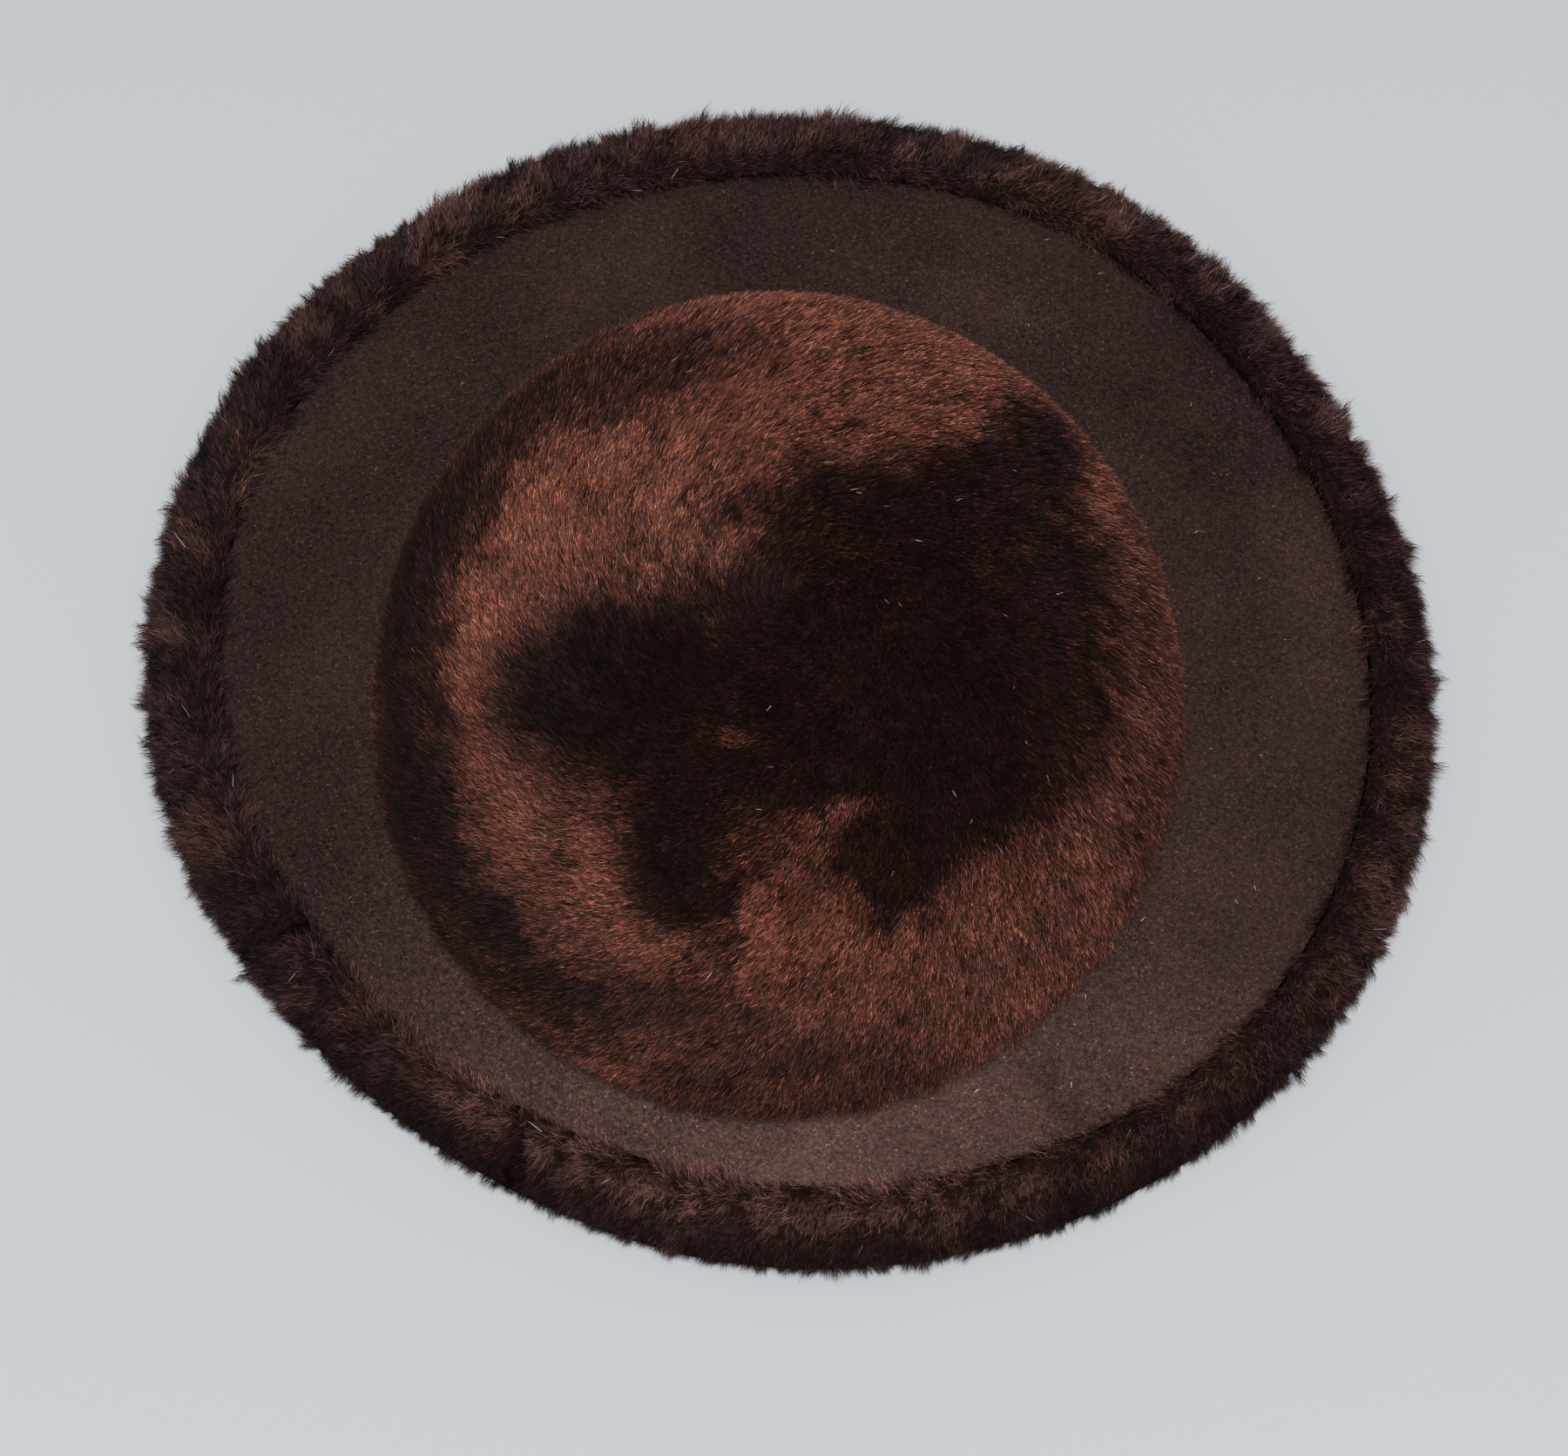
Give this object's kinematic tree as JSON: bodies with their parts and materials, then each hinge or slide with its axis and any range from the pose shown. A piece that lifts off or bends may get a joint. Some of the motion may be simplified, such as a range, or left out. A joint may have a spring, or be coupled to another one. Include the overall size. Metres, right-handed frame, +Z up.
{
  "type": "fur hat with a wide felt brim",
  "caption": "Domed hollow fur crown on a wide drooping felt brim, whose edge is bound with a folded strip of fur; open below for the head.",
  "frame": {"origin": "under the middle of the hat's box, on the surface that it rests on", "axes": "+Z up through the crown, +Y to the front where the brim is widest, +X to the wearer's right"},
  "size_m": [0.3574, 0.3526, 0.114],
  "materials": {
    "crown_fur": "glossy lying fur",
    "felt": "matt velour felt",
    "edge_fur": "dark tufted fur"
  },
  "bodies": {
    "root": {"crown": "crown_fur", "brim": "felt", "edge_fur_long": "edge_fur", "edge_fur_short": "edge_fur"}
  },
  "joints": []
}
